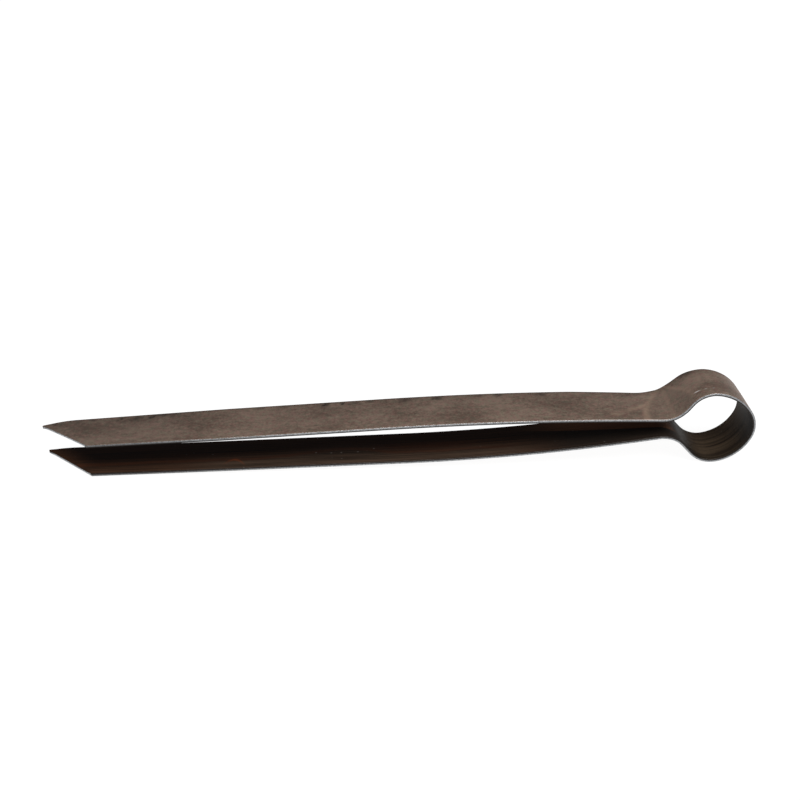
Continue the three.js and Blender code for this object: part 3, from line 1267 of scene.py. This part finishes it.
steel.links.new(
    node(steel, "ShaderNodeVectorMath", inner_brown, 0.8, operation="SCALE"),
    scaled_shader.inputs["Base Color"],
)
steel.links.new(
    node(steel, "ShaderNodeMapRange", rolling, 0.3, 0.7, 0.54, 0.62),
    scaled_shader.inputs["Roughness"],
)
scale_relief = node(
    steel, "ShaderNodeMath",
    node(steel, "ShaderNodeMath", rolling, 0.4, operation="MULTIPLY"),
    node(steel, "ShaderNodeMath", grain(1.1, 1.3, 3.0, 11.0), 0.6, operation="MULTIPLY"),
    operation="ADD",
)
steel.links.new(
    node(steel, "ShaderNodeBump", {"Height": scale_relief, "Strength": 0.35, "Distance": 0.00002}),
    scaled_shader.inputs["Normal"],
)

# Sheared steel edge: bare steel as the shears left it, touched up with a file. The eye gets a
# bright blue-grey line broken into dots by the tearing, duller in its hollows.
sheared_steel = bpy.data.materials.new("sheared_steel_edge")
sheared_steel.use_nodes = True
sheared = sheared_steel.node_tree
sheared_shader = sheared.nodes["Principled BSDF"]
sheared_shader.inputs["Metallic"].default_value = 1.0
edge_place = node(sheared, "ShaderNodeAttribute", attribute_name="sheet").node.outputs["Vector"]
tearing = node(
    sheared, "ShaderNodeTexNoise",
    {
        "Vector": node(
            sheared, "ShaderNodeVectorMath",
            {0: edge_place, 1: (4200.0, 3000.0, 2600.0)},
            operation="MULTIPLY",
        ),
        "Scale": 1.0, "Detail": 3.0, "Roughness": 0.6,
    },
)
edge_axes = node(sheared, "ShaderNodeSeparateXYZ", {0: edge_place}).node.outputs

# The burnished half of the wall is bright and the broken half dark, but on the filed cut.
burnish = node(
    sheared, "ShaderNodeMapRange", edge_axes["Z"], -0.00009, 0.00005, 0.05, 1.0,
    interpolation_type="SMOOTHSTEP",
)
filed = node(
    sheared, "ShaderNodeMath",
    node(
        sheared, "ShaderNodeMapRange", edge_axes["Y"], -0.0049, -0.0046, 0.0, 1.0,
        interpolation_type="SMOOTHSTEP",
    ),
    node(
        sheared, "ShaderNodeMapRange", edge_axes["Y"], 0.0035, 0.0040, 1.0, 0.0,
        interpolation_type="SMOOTHSTEP",
    ),
    operation="MULTIPLY",
)
burnish = node(sheared, "ShaderNodeMath", burnish, filed, operation="MAXIMUM")
handled = node(
    sheared, "ShaderNodeMapRange",
    node(sheared, "ShaderNodeMath", edge_axes["X"], operation="ABSOLUTE"),
    0.078, 0.112, 1.0, 0.45, interpolation_type="SMOOTHSTEP",
)
handled = node(sheared, "ShaderNodeMath", handled, filed, operation="MAXIMUM")
edge_light = node(
    sheared, "ShaderNodeMath",
    node(sheared, "ShaderNodeMath", burnish, handled, operation="MULTIPLY"),
    node(
        sheared, "ShaderNodeMapRange", tearing, 0.36, 0.62, 0.45, 1.0,
        interpolation_type="SMOOTHSTEP",
    ),
    operation="MULTIPLY",
)
sheared.links.new(
    node(
        sheared, "ShaderNodeMix", edge_light, "2A2522", "A8AAAC", data_type="RGBA"
    ),
    sheared_shader.inputs["Base Color"],
)
sheared_shader.inputs["Roughness"].default_value = 0.4
sheared.links.new(
    node(sheared, "ShaderNodeBump", {"Height": tearing, "Strength": 0.5, "Distance": 0.00004}),
    sheared_shader.inputs["Normal"],
)

RING_SPACING = 0.00013
END_RING = 0.00002  # a ring close to each end, so that shading meets the next piece's
CUT_RUN = 0.0095
POINT_ROUND = 0.00015
LAST_RING = 0.0000005  # the ring that closes the point stands this far from it
POINT_RINGS = (0.00006, 0.00003, 0.000012, 0.000003, 0)
SHARP_EDGE = math.radians(55)


def strip_piece(name, half, side, start, end, ease=(0.0015, 0.0057)):
    """One piece of the strip between two distances from the crown, as a plain closed mesh."""
    at_point = end >= half["ends"]
    if at_point:
        end -= LAST_RING
    steps = round((end - start) / RING_SPACING)
    rings = [start + (end - start) * i / steps for i in range(steps + 1)]
    rings.insert(1, start + END_RING)
    if at_point:
        rings[-1:] = [end - x for x in POINT_RINGS]
    else:
        rings.insert(-1, end - END_RING)
    if side < 0:
        rings.reverse()
    places, outs = [], []
    for distance in rings:
        point, out = station(half, distance)
        x, z = tilted(Vector((point.x, point.y * side))) + laid
        places.append((x, 0, z))
        direction = tilted(Vector((out.x, out.y * side)))
        outs.append((direction.x, 0, direction.y))
    line = place(name + "_run", line_mesh(name + "_run", places, False, {
        "out": outs,
        "run": [side * distance for distance in rings],
        "to_point": [half["ends"] - distance for distance in rings],
    }))
    bending = line.modifiers.new("bent_strip", "NODES")
    bending.node_group = strip
    for label, value in {
        "Section": section,
        "Width": STRIP_WIDTH, "Cut run": CUT_RUN, "Point ease": ease[0], "Ease length": ease[1],
        "Point round": POINT_ROUND, "Point thinning": 0.00016,
        "Cupping": 0.00002, "Waviness": 0.00002, "Nick depth": 0.00003, **half["bent"],
        "Outer finish": browned_steel, "Inner finish": scaled_steel, "Edge finish": sheared_steel,
    }.items():
        bending[strip_ids[label]] = value
    made = bpy.data.meshes.new_from_object(
        line.evaluated_get(bpy.context.evaluated_depsgraph_get()),
    )
    bpy.data.objects.remove(line)
    for helper in ("station", "out", "to_point", "run", "share", "inset", "height", "bare"):
        made.attributes.remove(made.attributes[helper])
    made.name = name
    made.shade_smooth()
    made.set_sharp_from_angle(angle=SHARP_EDGE)
    return place(name, made)


def in_frame(half, side, distance):
    """The mid-line's place in the row frame at a distance from the crown."""
    point = station(half, distance)[0]
    x, z = tilted(Vector((point.x, point.y * side))) + laid
    return x, 0, z


for label, half, side in (("upper", upper, 1), ("lower", lower, -1)):
    bow_half = strip_piece(f"{label}_bow_half", half, side, 0, half["neck_starts"])
    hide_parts("bow")
    in_frame(half, side, 0)
    in_frame(half, side, half["neck_starts"])
    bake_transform(bow_half)


# ---------------------------------------------------------------------------
# Necks. Behind the bow each side of the strip is bent in again and leaves it as an arm. The
# bending tool has rubbed the oxide along the bends.
# ---------------------------------------------------------------------------
ARM_FLEX_REACH = 0.012


def arm_flex(half, side):
    """Where a neck starts to give with its arm, and where it has given fully."""
    middle_of_flex = half["arm_starts"]
    return {
        "start": in_frame(half, side, middle_of_flex - ARM_FLEX_REACH),
        "end": in_frame(half, side, middle_of_flex + ARM_FLEX_REACH),
    }


for label, half, side in (("upper", upper, 1), ("lower", lower, -1)):
    neck = strip_piece(f"{label}_neck_strip", half, side, half["neck_starts"], half["arm_starts"])
    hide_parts(f"{label}_neck")
    arm_flex(half, side)
    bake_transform(neck)


# ---------------------------------------------------------------------------
# Arms. The long bowed middle of each side, gripped between finger and thumb. It is the same
# strip.
# ---------------------------------------------------------------------------
for label, half, side in (("upper", upper, 1), ("lower", lower, -1)):
    arm = strip_piece(f"{label}_arm_strip", half, side, half["arm_starts"], half["blade_starts"])
    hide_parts(f"{label}_arm")
    arm_flex(half, side)
    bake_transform(arm)


# ---------------------------------------------------------------------------
# Blades. The flat ends of the arms, sheared aslant to a point at the far edge, which is eased
# off to meet it. Their inner faces meet on the stamp.
# ---------------------------------------------------------------------------
for label, half, side, ease in (
    ("upper", upper, 1, (0.0015, 0.0057)),
    ("lower", lower, -1, (0.0006, 0.0045)),
):
    blade = strip_piece(
        f'{label}_blade_strip', half, side, half["blade_starts"], half["ends"], ease
    )
    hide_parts(f"{label}_blade")
    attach(blade, f"{label}_arm")

bpy.data.objects.remove(section)
